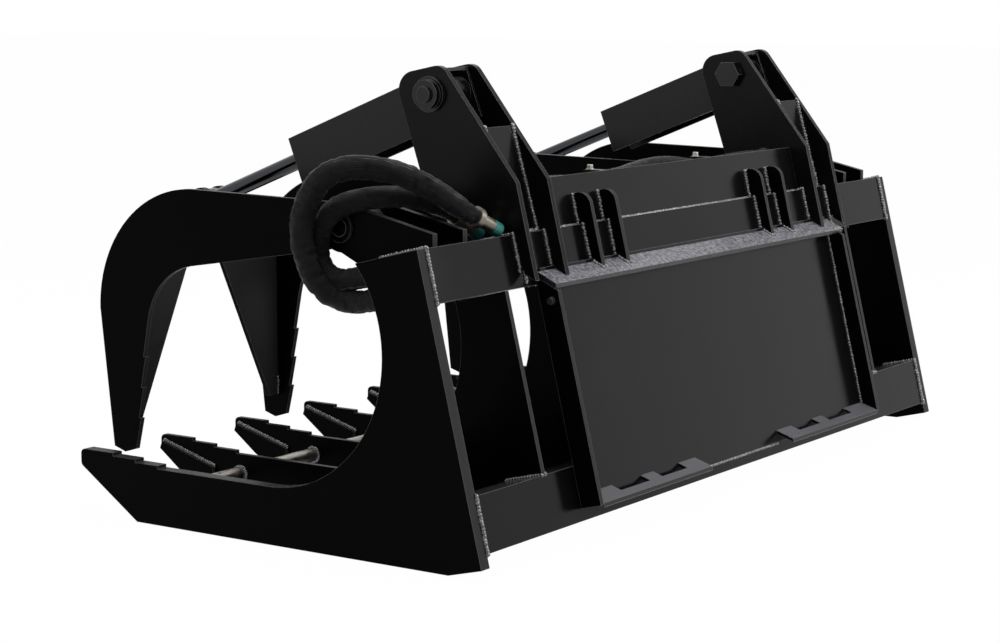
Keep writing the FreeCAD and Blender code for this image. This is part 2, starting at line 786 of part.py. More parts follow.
bolts, nuts = [], []
for side, sign in SIDES.items():
    reach = dim("tower_gap") + "tower_thick"
    end = reach + "head_thick" + "collar_thick"
    first, last = (-reach, end) if sign > 0 else (-end, reach)
    head_start = -(reach + "head_thick") if sign > 0 else reach
    bolt = turned(f"cylinder_bolt_{side}", [
        (first, 0), (last, 0), (last, "base_pin_radius"), (first, "base_pin_radius")],
        (head_start, "head_thick"))
    place(bolt, dim("clamp_mid") * sign, *base)
    bolts.append(bolt)
    low = reach if sign > 0 else -(reach + "head_thick")
    inner_radius = dim("base_pin_radius") + "run_gap"
    flange = dim("collar_radius") + "collar_thick" - "run_gap"
    near = low if sign > 0 else low + "head_thick"
    step = dim("collar_thick") * sign
    far = near + dim("head_thick") * sign
    nut = turned(f"cylinder_nut_{side}", [
        (near, inner_radius), (far, inner_radius), (far, "collar_radius"),
        (near + step, "collar_radius"), (near + step, flange), (near, flange)])
    place(nut, dim("clamp_mid") * sign, *base)
    nuts.append(nut)
parts.append(group("cylinder_bolts", bolts))
parts.append(group("cylinder_nuts", nuts))


# In front a shield plate ties the two claws of a clamp. It is cut to a tapering leg
# down each claw, and carries two lugs on its back for the end of the cylinder's rod.

rod_out = base[0] + dim("pin_to_pin") * cosine("dip")
rod_up = base[1] - dim("pin_to_pin") * sine("dip")
claw_inner = dim("claw_spread") - dim("claw_thick") / 2
lug_side = [
    (rod_out - "lug_radius", rod_up),
    (rod_out + "lug_radius", rod_up),
    (dim("shield_out") + "shield_thick", dim("shield_top") + "gap"),
    (dim("shield_out") - "gap", dim("shield_top") + "gap"),
    (dim("shield_out") - "gap", "lug_foot"),
    (dim("shield_out") - "lug_step", dim("lug_foot") + "lug_step"),
]
lug_arcs = {0: ((rod_out, rod_up), True)}
for side, sign in SIDES.items():
    middle = dim("clamp_mid") * sign
    shield = new_body(f"claw_shield_{side}")
    shield_sketch = new_sketch(shield, "XZ_Plane", f"claw_shield_{side}_front")
    half = claw_inner
    draw_loop(shield_sketch, [
        (-half, "shield_top"), (half, "shield_top"), (half, "shield_toe"),
        ("shield_toe_half", "shield_toe"), ("shield_apex_half", "shield_apex"),
        (-dim("shield_apex_half"), "shield_apex"), (-dim("shield_toe_half"), "shield_toe"),
        (-half, "shield_toe")])
    pad(shield, shield_sketch, "shield_thick", f"claw_shield_{side}_pad").Reversed = True
    place(shield, middle, "shield_out")
    parts.append(shield)

    rod_hole = ((rod_out, rod_up), dim("rod_pin_radius") + "run_gap")
    low = slab(f"rod_lug_{side}_a", lug_side, "lug_thick", middle - "lug_gap" - "lug_thick",
               lug_arcs, [rod_hole])
    high = slab(f"rod_lug_{side}_b", lug_side, "lug_thick", middle + "lug_gap", lug_arcs, [rod_hole])
    parts.append(group(f"rod_lugs_{side}", [low, high]))

    near, far = dim("lug_gap") + "gap", dim("lug_gap") + "lug_thick"
    ends = []
    for end_name, way in (("head", 1), ("nut", -1)):
        first, last = (near, far) if way > 0 else (-far, -near)
        start = far if way > 0 else -(far + "rod_head_thick")
        end = turned(f"rod_pin_{side}_{end_name}", [
            (first, 0), (last, 0), (last, "rod_pin_radius"), (first, "rod_pin_radius")],
            (start, "rod_head_thick"), "rod_hex_across")
        place(end, middle, rod_out, rod_up)
        ends.append(end)
    parts.append(group(f"rod_bolt_{side}", ends))


# The cylinders are drawn along their own length from the base pin, then dipped.

dip_turn = FreeCAD.Rotation(FreeCAD.Vector(1, 0, 0), -SIZES["dip"]).multiply(
    FreeCAD.Rotation(FreeCAD.Vector(0, 0, 1), 90))


def dipped(body, sign):
    body.Placement = FreeCAD.Placement(FreeCAD.Vector(), dip_turn)
    place(body, dim("clamp_mid") * sign, *base)


for side, sign in SIDES.items():
    barrel = turned(f"cylinder_barrel_{side}", [
        (0, 0), ("bore_start", 0), ("bore_start", "bore_radius"), ("gland_start", "bore_radius"),
        ("gland_start", dim("rod_radius") + "run_gap"), ("barrel_end", dim("rod_radius") + "run_gap"),
        ("barrel_end", "barrel_radius"), (0, "barrel_radius")])
    eye_sketch = new_sketch(barrel, "XZ_Plane", f"cylinder_barrel_{side}_eye_ring")
    draw_circle(eye_sketch, (dim(0), dim(0)), "eye_radius")
    pad(barrel, eye_sketch, dim("eye_half") * 2, f"cylinder_barrel_{side}_eye", both_ways=True)
    bore_sketch = new_sketch(barrel, "XZ_Plane", f"cylinder_barrel_{side}_bore_ring")
    draw_circle(bore_sketch, (dim(0), dim(0)), dim("base_pin_radius") + "run_gap")
    bore = barrel.newObject("PartDesign::Pocket", f"cylinder_barrel_{side}_bore")
    bore.Profile = bore_sketch
    bore.Type = "ThroughAll"
    bore.Midplane = True
    barrel.Tip = bore
    dipped(barrel, sign)
    parts.append(barrel)

    guard = new_body(f"cylinder_guard_{side}")
    guard_sketch = new_sketch(guard, "YZ_Plane", f"cylinder_guard_{side}_section")
    half, wall = dim("guard_half"), dim("guard_wall")
    draw_loop(guard_sketch, [
        (-half, -dim("guard_under")), (-half, dim("guard_over") + wall), (half, dim("guard_over") + wall),
        (half, -dim("guard_under")), (half - wall, -dim("guard_under")), (half - wall, "guard_over"),
        (wall - half, "guard_over"), (wall - half, -dim("guard_under"))])
    guard_sketch.setExpression("AttachmentOffset.Base.z", (-dim("guard_back")).formula)
    pad(guard, guard_sketch, dim("guard_back") + "guard_front", f"cylinder_guard_{side}_pad")
    hole_sketch = new_sketch(guard, "XZ_Plane", f"cylinder_guard_{side}_hole_ring")
    draw_circle(hole_sketch, (dim(0), dim(0)), dim("base_pin_radius") + "run_gap")
    hole = guard.newObject("PartDesign::Pocket", f"cylinder_guard_{side}_holes")
    hole.Profile = hole_sketch
    hole.Type = "ThroughAll"
    hole.Midplane = True
    guard.Tip = hole
    dipped(guard, sign)
    parts.append(guard)

    piston_end = dim("piston_start") + "piston_long"
    rod = turned(f"cylinder_rod_{side}", [
        ("piston_start", 0), ("pin_to_pin", 0), ("pin_to_pin", "rod_radius"), (piston_end, "rod_radius"),
        (piston_end, dim("bore_radius") - "run_gap"), ("piston_start", dim("bore_radius") - "run_gap")])
    half = dim("lug_gap") - "gap"
    tip_sketch = new_sketch(rod, "XZ_Plane", f"cylinder_rod_{side}_tip_ring")
    draw_circle(tip_sketch, ("pin_to_pin", dim(0)), "rod_eye_radius")
    pad(rod, tip_sketch, half * 2, f"cylinder_rod_{side}_tip", both_ways=True)
    dipped(rod, sign)
    parts.append(rod)


# The hoses. Two in woven sleeves leave ports on the front of the upper beam, loop
# forwards and up past the left claw's ears, and end in capped couplers laid on the
# beam. One more crosses the frame behind the upper plate, held by two clamps.

def fitting(label, start, way, outline):
    """A fitting turned about its length, set at a point and facing along a direction."""
    body = turned(label, outline)
    turn = FreeCAD.Rotation(FreeCAD.Vector(1, 0, 0), FreeCAD.Vector(*way))
    body.Placement = FreeCAD.Placement(FreeCAD.Vector(), turn)
    place(body, *start)
    return body


def from_mark(route):
    """A route's points as (across, out, up), from their places about the beam's mark."""
    return [(across, *marked(ahead, over)) for across, ahead, over in route]


def hose(label, points, radius):
    """A tube of straight runs joined by arcs that each take 0.45 of the shorter run."""
    route = [FreeCAD.Vector(dim(x).number, dim(out).number - middle_out.number, dim(up).number)
             for x, out, up in points]
    edges = []
    bends = []
    last = route[0]
    for before, corner, after in zip(route, route[1:], route[2:]):
        into = (corner - before).normalize()
        away = (after - corner).normalize()
        turn = into.getAngle(away)
        reach = HOSE_SHARE * min((corner - before).Length, (after - corner).Length)
        bends.append(reach / math.tan(turn / 2))
        start = corner - into * reach
        end = corner + away * reach
        inward = (away - into).normalize()
        middle = corner + inward * (bends[-1] / math.cos(turn / 2) - bends[-1])
        edges.append(Part.LineSegment(last, start).toShape())
        edges.append(Part.Arc(start, middle, end).toShape())
        last = end
    edges.append(Part.LineSegment(last, route[-1]).toShape())
    path = Part.Wire(edges)
    heading = (route[1] - route[0]).normalize()
    ring = Part.Wire([Part.Circle(route[0], heading, dim(radius).number).toShape()])
    tube = path.makePipeShell([ring], True, False, 0)
    feature = doc.addObject("Part::Feature", label)
    feature.Label = label
    feature.Shape = tube
    share = tube.Volume / (math.pi * dim(radius).number ** 2 * path.Length)
    print(label, "length", round(path.Length), "tightest bend", round(min(bends)), "share", round(share, 4))
    return feature


port_face = dim("tine_setback") + "top_beam_deep"
outward = (0.0, cosine("lean").number, -sine("lean").number)
port_outline = [(0, 0), (0, "port_radius"), ("port_nut", "port_radius"), ("port_nut", "ferrule_radius"),
                ("port_long", "ferrule_radius"), ("port_long", 0)]
coupler_outline = [(0, 0), (0, "ferrule_radius"), ("port_nut", "ferrule_radius"), ("port_nut", "coupler_radius"),
                   ("coupler_long", "coupler_radius"), ("coupler_long", 0)]
cap_outline = [("coupler_long", 0), ("coupler_long", "cap_radius"),
               (dim("coupler_long") + "cap_long", "cap_radius"), (dim("coupler_long") + "cap_long", 0)]
hose_ports = []
for number, (port_over, route) in enumerate(HOSE_ROUTES, start=1):
    port_along = dim("top_beam_along") + port_over
    root_point = leaned(port_along, port_face)
    mouth = leaned(port_along, port_face + "port_long")
    neck = leaned(port_along, port_face + "port_long" + HOSE_STRAIGHT)
    across = route[-1][0]
    points = from_mark(route) + [(across, neck[0], neck[1]), (across, mouth[0], mouth[1])]
    hose_ports.append(fitting(f"hose_port_{number}", (across, *root_point), outward, port_outline))
    parts.append(hose(f"supply_hose_{number}", points, "hose_radius"))
    back = [a - b for a, b in zip(route[0], route[1])]
    parts.append(fitting(f"hose_coupler_{number}", points[0], back, coupler_outline))
    parts.append(fitting(f"coupler_cap_{number}", points[0], back, cap_outline))

cross_port_outline = [
    (0, 0), (0, "cross_port_radius"), ("port_nut", "cross_port_radius"),
    ("port_nut", "cross_ferrule_radius"), ("port_long", "cross_ferrule_radius"), ("port_long", 0)]
crossing = from_mark(CROSS_ROUTE)
mouth = upper_half - "port_long"
for number, way in enumerate((-1, 1), start=1):
    start = (upper_half * way, *crossing[0][1:])
    hose_ports.append(fitting(f"cross_port_{number}", start, (-way, 0, 0), cross_port_outline))
parts.append(group("hose_ports", hose_ports))
held = next(point for point in crossing if point[0] > -CROSS_CLAMP)
crossing = [(-mouth, *crossing[0][1:])] + crossing + [(mouth, *crossing[-1][1:])]
parts.append(hose("cross_hose", crossing, "cross_hose_radius"))

clamp_low = held[1] - "clamp_deep"
clamp_high = held[1] + "clamp_deep"
clamp_top = held[2] + "cross_hose_radius" + "clamp_cover"
beam_slope = sine("lean") / cosine("lean")
clamps = []
for number, way in enumerate((-1, 1), start=1):
    side = [
        (clamp_low, beam_top_up - "gap" - (clamp_low - beam_top_out) * beam_slope),
        (clamp_high, beam_top_up - "gap" - (clamp_high - beam_top_out) * beam_slope),
        (clamp_high, clamp_top), (clamp_low, clamp_top)]
    hole = ((held[1], held[2]), dim("cross_hose_radius") + "gap")
    clamps.append(slab(f"hose_clamp_{number}", side, dim("clamp_half") * 2,
                       dim(CROSS_CLAMP * way) - "clamp_half", holes=[hole]))
parts.append(group("hose_clamps", clamps))


doc.recompute()
failed = []
for item in doc.Objects:
    if "Invalid" in item.State or "Error" in item.State:
        failed.append(f"{item.Name} {item.State}")
for part in parts:
    if part.Shape.isNull() or not part.Shape.isValid():
        failed.append(f"{part.Label} has no valid shape")
if failed:
    raise RuntimeError("; ".join(failed))

os.makedirs("parts", exist_ok=True)
for part in parts:
    part.Shape.exportStep(f"parts/{part.Label}.step")
    print(part.Label, len(part.Shape.Solids), round(part.Shape.Volume / 1000.0, 1))
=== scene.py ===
# %% [markdown]
# # A root grapple in black paint
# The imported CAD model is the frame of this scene. Its steel keeps its shape, and this
# script gives it paint, weld beads, woven hose sleeves and small fasteners.

# %%
import math
import random

import bpy
import bmesh
from mathutils import Matrix, Vector, noise


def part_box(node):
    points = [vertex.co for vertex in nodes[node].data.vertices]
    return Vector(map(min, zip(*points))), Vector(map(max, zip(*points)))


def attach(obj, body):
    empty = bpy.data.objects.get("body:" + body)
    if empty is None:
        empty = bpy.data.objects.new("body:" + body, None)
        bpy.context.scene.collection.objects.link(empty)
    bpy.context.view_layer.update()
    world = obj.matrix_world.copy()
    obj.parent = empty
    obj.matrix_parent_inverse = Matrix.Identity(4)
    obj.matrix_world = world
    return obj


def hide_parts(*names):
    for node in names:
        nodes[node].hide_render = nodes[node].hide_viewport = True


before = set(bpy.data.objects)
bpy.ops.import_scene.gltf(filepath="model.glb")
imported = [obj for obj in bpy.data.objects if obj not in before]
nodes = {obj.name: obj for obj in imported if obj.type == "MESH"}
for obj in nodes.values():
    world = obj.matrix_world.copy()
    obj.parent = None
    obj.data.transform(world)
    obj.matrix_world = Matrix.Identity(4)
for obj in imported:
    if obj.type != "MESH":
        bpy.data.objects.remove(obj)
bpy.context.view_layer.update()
scene = bpy.context.scene
random.seed(7)

# %% [markdown]
# ## Places that the CAD settles
# Sizes are metres in the frame's axes. The lean and the beam's place are the frame's
# own, so welds and bolts land on the steel.

# %%
LEAN = math.radians(13.8)
CLAMP_MID = 0.5665  # from the middle of the grapple to the middle of a clamp and its tower
CLAW_SPREAD = 0.2285  # from a clamp's middle to each of its claws
TINE_PITCH = 0.2255
TINE_HALF = 0.005
INNER_TINES = range(-3, 4)
SIGNS = (-1, 1)
SIDES = (("left", -1), ("right", 1))

sole_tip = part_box("side_plate_left")[1].y
MIDDLE_OUT = 0.985 - sole_tip


def flat(out, up):
    """A point of the side view, measured from the attach plane's foot."""
    return out - MIDDLE_OUT, up


def leaned(along, deep):
    """A point given up the lean and square off the attach plane."""
    out = along * math.sin(LEAN) + deep * math.cos(LEAN)
    up = along * math.cos(LEAN) - deep * math.sin(LEAN)
    return flat(out, up)


print("the attach plane's foot is", round(MIDDLE_OUT * 1000), "mm behind the origin")

# %% [markdown]
# ## Materials
# Every material is made of nodes over the object's own coordinates, so it looks the
# same from any side. Colours are written as hex and turned into linear light. A noise
# scale is about how many grains lie in a metre, so each is named and given in mm.

# %%
NOISE = "ShaderNodeTexNoise"
WAVE = "ShaderNodeTexWave"
RAMP = "ShaderNodeValToRGB"
MIX = "ShaderNodeMix"
# A Mix node's colour sockets go by number, because their names repeat.
MIX_FIRST, MIX_SECOND, MIX_RESULT = 6, 7, 2


def linear(code):
    """A hex colour as linear red, green, blue and alpha."""
    values = []
    for start in (0, 2, 4):
        share = int(code[start:start + 2], 16) / 255
        values.append(share / 12.92 if share <= 0.04045 else ((share + 0.055) / 1.055) ** 2.4)
    return (*values, 1.0)


def fill_ramp(band, stops):
    """Stops are (position, colour or grey level)."""
    while len(band.elements) < len(stops):
        band.elements.new(0.5)
    for element, (position, value) in zip(band.elements, stops):
        element.position = position
        element.color = linear(value) if isinstance(value, str) else (value, value, value, 1.0)


class Look:
    """A material, and one way to add a node with its settings and links."""

    def __init__(self, name, colour, rough, metal=0.0, coat=0.0, sheen=0.5):
        self.material = bpy.data.materials.new(name)
        self.material.use_nodes = True
        self.tree = self.material.node_tree
        self.shader = self.tree.nodes["Principled BSDF"]
        self.shader.inputs["Base Color"].default_value = linear(colour)
        self.shader.inputs["Roughness"].default_value = rough
        self.shader.inputs["Metallic"].default_value = metal
        self.shader.inputs["Coat Weight"].default_value = coat
        self.shader.inputs["Coat Roughness"].default_value = 0.12
        self.shader.inputs["Specular IOR Level"].default_value = sheen
        self.place = self.add("ShaderNodeTexCoord", "Object")

    def add(self, kind, out, sets=None):
        """Add a node and give one of its outputs. A socket takes another node's output, a
        hex colour or a number. Stops fill a colour ramp, and other keys are settings."""
        node = self.tree.nodes.new(kind)
        for key, value in (sets or {}).items():
            if key == "stops":
                fill_ramp(node.color_ramp, value)
            elif isinstance(key, str) and key not in node.inputs:
                setattr(node, key, value)
            elif isinstance(value, bpy.types.NodeSocket):
                self.tree.links.new(value, node.inputs[key])
            else:
                node.inputs[key].default_value = linear(value) if isinstance(value, str) else value
        return node.outputs[out]

    def drive(self, name, source):
        """Let a node's output set one of the shader's inputs."""
        self.tree.links.new(source, self.shader.inputs[name])

    def facing(self, axis, low, high):
        """Nought to one as the surface turns to face along an axis, either way for X."""
        normal = self.add("ShaderNodeTexCoord", "Normal")
        share = self.add("ShaderNodeSeparateXYZ", axis, {"Vector": normal})
        if axis == "X":
            share = self.add("ShaderNodeMath", 0, {"operation": "ABSOLUTE", 0: share})
        return self.add(RAMP, "Color", {"Fac": share, "stops": [(low, 0.0), (high, 1.0)]})

    def edges(self, radius):
        """One along the edges, where the rounded normal leaves the true one."""
        soft = self.add("ShaderNodeBevel", "Normal", {"Radius": radius, "samples": 6})
        hard = self.add("ShaderNodeNewGeometry", "True Normal")
        both = self.add("ShaderNodeVectorMath", "Value", {"operation": "DOT_PRODUCT", 0: soft, 1: hard})
        return self.add(RAMP, "Color", {"Fac": both, "stops": [(0.82, 1.0), (0.975, 0.0)]})

    def relief(self, height, strength, distance, edge=0.0):
        """Bump from a height, over edges that are rounded in the shading."""
        sets = {"Strength": strength, "Distance": distance, "Height": height}
        if edge:
            sets["Normal"] = self.add("ShaderNodeBevel", "Normal", {"Radius": edge, "samples": 4})
        self.drive("Normal", self.add("ShaderNodeBump", "Normal", sets))


print("black as linear light:", [round(value, 4) for value in linear("0b0b0b")])

# %% [markdown]
# ## Black enamel on plate and tube
# The real finish is gloss enamel, sprayed on flame-cut plate and drawn tube. The eye sees near black with a
# soft gloss, fine orange peel and specks of dust. What faces up is drawn lighter, a painted highlight from
# the lamp above. A painted highlight runs along the edges. Faces that don't face along X, which on the plates
# are mostly their cut edges, get a lighter grey that is a painted reflection. It could be one flat black, but
# then the plates would melt into each other. The edges are found by comparing a rounded normal with the true
# one, so no edge has to be drawn by hand.

# %%
EDGE_ROUND = 0.0012  # plate edges are dressed to about 1 mm
EDGE_GLINT = 0.0019  # the painted highlight along the edges, drawn wider than a fine edge so that it shows
CLOUDS = 5.0  # duller clouds 200 mm across
SPECKS = 900.0  # specks of dust 1.1 mm apart, coarser than real ones so that they show
ORANGE_PEEL = 420.0  # orange peel of 2.4 mm


def black_paint(name, colour, low, high, sheen=0.1, edge_face_reflection=None, lit_top="323234", edge_glint="747476"):
    """Gloss enamel. Low and high are its roughness. The tone for faces that don't face along X, mostly cut
    edges, is a painted reflection; the tones for what faces up and along the edges are painted highlights.
    """
    look = Look(name, colour, low, sheen=sheen)
    cloud = look.add(NOISE, "Fac", {"Scale": CLOUDS, "Detail": 5.0, "Roughness": 0.6, "Vector": look.place})
    look.drive("Roughness", look.add(RAMP, "Color", {"Fac": cloud, "stops": [(0.3, low), (0.72, high)]}))
    # Faces that don't face along X, mostly the plates' cut edges, get a lighter grey that is a painted
    # reflection.
    coat = colour
    if edge_face_reflection:
        coat = look.add(MIX, MIX_RESULT, {"data_type": "RGBA", "Factor": look.facing("X", 0.5, 0.8),
                                          MIX_FIRST: edge_face_reflection, MIX_SECOND: colour})
    grain = look.add(NOISE, "Fac", {"Scale": SPECKS, "Detail": 2.0, "Vector": look.place})
    specks = look.add(RAMP, "Color", {"Fac": grain, "stops": [(0.66, 0.0), (0.84, 0.7)]})
    # Dust specks are the paint's own colour. The lighter tone on what faces up is a painted highlight from
    # the lamp above, and the lighter tone along the edges is a painted highlight.
    for share, tone in ((specks, "2c2c2e"), (look.facing("Z", 0.72, 0.92), lit_top),
                        (look.edges(EDGE_GLINT), edge_glint)):
        coat = look.add(MIX, MIX_RESULT, {"data_type": "RGBA", "Factor": share,
                                          MIX_FIRST: coat, MIX_SECOND: tone})
    look.drive("Base Color", coat)
    peel = look.add(NOISE, "Fac", {"Scale": ORANGE_PEEL, "Detail": 3.0, "Vector": look.place})
    look.relief(peel, 0.12, 0.0006, EDGE_ROUND)
    return look.material


# %% [markdown]
# ## Spattered enamel and painted welds
# The hooked lip is sprayed heavily, with runs and drops, and what faces up gets bright patches that are a
# painted highlight. A weld bead is a row of ripples under the same enamel, with grey spots on black that are
# painted glints. The drops and ripples could be real geometry in the mesh, but they are a few mm across and
# lie in the thousands, so noise gives their bump, and the highlights and glints their tone.

# %%
DROPS = 330.0  # drops 3 mm across
GLARE_PATCHES = 120.0  # patches of painted highlight 8 mm across
GLINTS = 210.0  # painted glints 5 mm apart, about one to a ripple
BEAD_GRAIN = 380.0  # grain of 2.6 mm


def spatter_with_painted_glare():
    look = Look("enamel_over_spatter", "0d0d0e", 0.2, coat=0.2, sheen=0.35)
    drops = look.add(NOISE, "Fac", {"Scale": DROPS, "Detail": 6.0, "Roughness": 0.7, "Vector": look.place})
    patches = look.add(NOISE, "Fac", {"Scale": GLARE_PATCHES, "Detail": 5.0, "Roughness": 0.7,
                                      "Vector": look.place})
    # What faces up gets bright patches: a painted highlight of the lamp above in the wet gloss.
    glare = look.add(RAMP, "Color", {"Fac": patches, "stops": [(0.32, "2c2c2f"), (0.5, "6f6f75"),
                                                             (0.7, "95959c")]})
    look.drive("Base Color", look.add(MIX, MIX_RESULT, {
        "data_type": "RGBA", "Factor": look.facing("Z", 0.3, 0.55), MIX_FIRST: "0d0d0e", MIX_SECOND: glare}))
    look.drive("Roughness", look.add(RAMP, "Color", {"Fac": drops, "stops": [(0.35, 0.1), (0.7, 0.36)]}))
    look.relief(drops, 0.6, 0.002, EDGE_ROUND)
    return look.material


def weld_metal():
    look = Look("painted_weld_bead", "161617", 0.12, coat=1.0)
    glints = look.add(NOISE, "Fac", {"Scale": GLINTS, "Detail": 3.0, "Vector": look.place})
    # The grey spots on the bead are painted glints.
    look.drive("Base Color", look.add(RAMP, "Color", {
        "Fac": glints, "stops": [(0.47, "101011"), (0.62, "7c7c7f")]}))
    grain = look.add(NOISE, "Fac", {"Scale": BEAD_GRAIN, "Detail": 4.0, "Vector": look.place})
    look.relief(grain, 0.5, 0.0008)
    return look.material


# %% [markdown]
# ## Zinc and chrome
# Bolts, couplers and the tie bar are zinc plated: bright metal with dull patches. The
# cylinder rods are ground and hard chromed, which the eye reads as a dark mirror with
# faint rings. Both are full metals, and only their roughness and tone set them apart.

# %%
DULL_PATCHES = 60.0  # dull patches 17 mm across
ZINC_GRAIN = 700.0  # grain of 1.4 mm, coarser than the real one so that it shows
ROD_HAZE = 8.0  # haze 125 mm long
GRINDING = 260.0  # rings 1.2 mm apart, coarser than real grinding marks so that they show


def plated_steel(name, colour, rough):
    look = Look(name, colour, rough, metal=1.0)
    wear = look.add(NOISE, "Fac", {"Scale": DULL_PATCHES, "Detail": 5.0, "Vector": look.place})
    look.drive("Roughness", look.add(RAMP, "Color", {
        "Fac": wear, "stops": [(0.3, rough), (0.75, rough + 0.22)]}))
    grain = look.add(NOISE, "Fac", {"Scale": ZINC_GRAIN, "Detail": 2.0, "Vector": look.place})
    look.relief(grain, 0.15, 0.0003, 0.0008)
    return look.material


def chromed_rod():
    look = Look("ground_chrome", "3f4043", 0.1, metal=1.0)
    rings = look.add(WAVE, "Fac", {"Scale": GRINDING, "Distortion": 1.5, "bands_direction": "Y",
                                   "Vector": look.place})
    haze = look.add(NOISE, "Fac", {"Scale": ROD_HAZE, "Detail": 4.0, "Vector": look.place})
    look.drive("Roughness", look.add(RAMP, "Color", {"Fac": haze, "stops": [(0.3, 0.07), (0.8, 0.2)]}))
    look.relief(rings, 0.05, 0.0002)
    return look.material


# %% [markdown]
# ## Woven nylon and moulded plastic
# The hoses run in loose nylon sleeves, plain woven along and round the hose and sewn shut with a seam. The
# weave is drawn darker where it dips, a painted shade between the threads, and the seam's two rows and the
# sleeve's top are drawn lighter, a painted highlight. The weave could be geometry, but it has thousands of
# threads, so two waves over the sleeve's own UV map cross to make it, and it bends with the hose. The
# couplers' caps are moulded plastic, even and a little dull.

# %%
RIDGE_TURN = 5.25  # where the seam lies round the hose, in radians
SEAM_HALF = 0.024  # from the seam's middle to each of its two rows, as a share of the way round
ROW_HALF = 0.010
# One unit of the sleeve's UV map is its 119 mm girth, and a wave repeats 3.18 times its scale.
THREADS_ALONG = 26.0  # threads 1.4 mm apart
THREADS_ROUND = 14.0  # threads 2.7 mm apart
HIGHLIGHT_GAPS = 45.0  # gaps in the painted highlight on the seam's rows, 22 mm apart
SLEEVE_SHINE = 30.0  # duller places 33 mm across
PLASTIC_TINT = 40.0  # tint in patches of 25 mm
PLASTIC_GRAIN = 500.0  # moulded grain of 2 mm


def woven_sleeve():
    look = Look("woven_nylon", "0e0e0f", 0.4, sheen=0.1)
    look.shader.inputs["Sheen Weight"].default_value = 0.03
    look.shader.inputs["Sheen Roughness"].default_value = 0.4
    unrolled = look.add("ShaderNodeTexCoord", "UV")
    bands = []
    for direction, scale in (("X", THREADS_ALONG), ("Y", THREADS_ROUND)):
        bands.append(look.add(WAVE, "Fac", {"Scale": scale, "Distortion": 0.6, "Detail": 1.0,
                                            "bands_direction": direction, "Vector": unrolled}))
    height = look.add("ShaderNodeMath", 0, {"operation": "MULTIPLY", 0: bands[0], 1: bands[1]})
    # The weave is darker where it dips, a painted shade between the threads.
    weave_shade = look.add(RAMP, "Color", {"Fac": height, "stops": [(0.1, "050506"), (0.9, "141416")]})
    round_hose = look.add("ShaderNodeSeparateXYZ", "Y", {"Vector": unrolled})
    middle = RIDGE_TURN / (2 * math.pi)
    rows = []
    for row in (middle - SEAM_HALF, middle + SEAM_HALF):
        rows += [(row - ROW_HALF, 0.0), (row, 1.0), (row + ROW_HALF, 0.0)]
    # The seam's two rows get a painted highlight along the ridge, broken by gaps.
    seam = look.add(RAMP, "Color", {"Fac": round_hose, "stops": rows})
    gaps = look.add(NOISE, "Fac", {"Scale": HIGHLIGHT_GAPS, "Detail": 3.0, "Vector": look.place})
    patchy = look.add(RAMP, "Color", {"Fac": gaps, "stops": [(0.42, 0.1), (0.6, 0.9)]})
    seam_highlight = look.add("ShaderNodeMath", 0, {"operation": "MULTIPLY", 0: seam, 1: patchy})
    # The sleeve is drawn lighter towards its top, a painted highlight from the lamp above, and the seam's two
    # rows are drawn lighter, a painted highlight.
    tone = weave_shade
    for share, colour in ((look.facing("Z", -0.1, 1.0), "2f2f32"), (seam_highlight, "6a6a6e")):
        tone = look.add(MIX, MIX_RESULT, {"data_type": "RGBA", "Factor": share,
                                          MIX_FIRST: tone, MIX_SECOND: colour})
    look.drive("Base Color", tone)
    shine = look.add(NOISE, "Fac", {"Scale": SLEEVE_SHINE, "Detail": 4.0, "Vector": look.place})
    look.drive("Roughness", look.add(RAMP, "Color", {"Fac": shine, "stops": [(0.35, 0.24), (0.7, 0.5)]}))
    look.relief(height, 0.8, 0.0018)
    return look.material


def moulded_plastic():
    look = Look("moulded_teal_plastic", "2a7a73", 0.42)
    tint = look.add(NOISE, "Fac", {"Scale": PLASTIC_TINT, "Detail": 4.0, "Vector": look.place})
    look.drive("Base Color", look.add(RAMP, "Color", {
        "Fac": tint, "stops": [(0.3, "236b64"), (0.7, "348a81")]}))
    grain = look.add(NOISE, "Fac", {"Scale": PLASTIC_GRAIN, "Detail": 3.0, "Vector": look.place})
    look.relief(grain, 0.2, 0.0004, 0.001)
    return look.material


# %% [markdown]
# ## Which piece wears what
# All the steel has one paint, but the photograph shows it sprayed thick on tube and
# face plates and thin on the cut plates, so each kind has its own gloss. A piece that
# isn't listed is cut plate.

# %%
# In each paint, the tone for what faces up is a painted highlight from the lamp above, the tone along the
# edges is a painted highlight, and the plate's lighter grey on faces that don't face along X is a painted
# reflection.
PLATE = black_paint("black_enamel_plate", "050505", 0.24, 0.4, 0.02, edge_face_reflection="353435")
FOLDED = black_paint("black_enamel_folded", "0b0b0b", 0.16, 0.32, 0.1, lit_top="3a3a3c")
FACE = black_paint("black_enamel_face", "0b0a0b", 0.1, 0.26, 0.14)
TUBE = black_paint("black_enamel_tube", "0a0909", 0.1, 0.26, 0.12)
GLOSS = black_paint("black_enamel_gloss", "0b0b0c", 0.1, 0.22, 0.28)
GUARD = black_paint("black_enamel_guard", "151515", 0.18, 0.34, 0.2, lit_top="3a3a3c")
LEDGE = black_paint("black_enamel_ledge", "0d0d0e", 0.12, 0.3, 0.25, lit_top="5c5c60")
LIP = spatter_with_painted_glare()
WELD = weld_metal()
BOLT = plated_steel("darkened_zinc", "4a4845", 0.34)
BRIGHT = plated_steel("bright_zinc", "a5a29a", 0.25)
DULL = plated_steel("dull_zinc", "77736a", 0.34)
CHROME = chromed_rod()
SLEEVE = woven_sleeve()
TEAL = moulded_plastic()

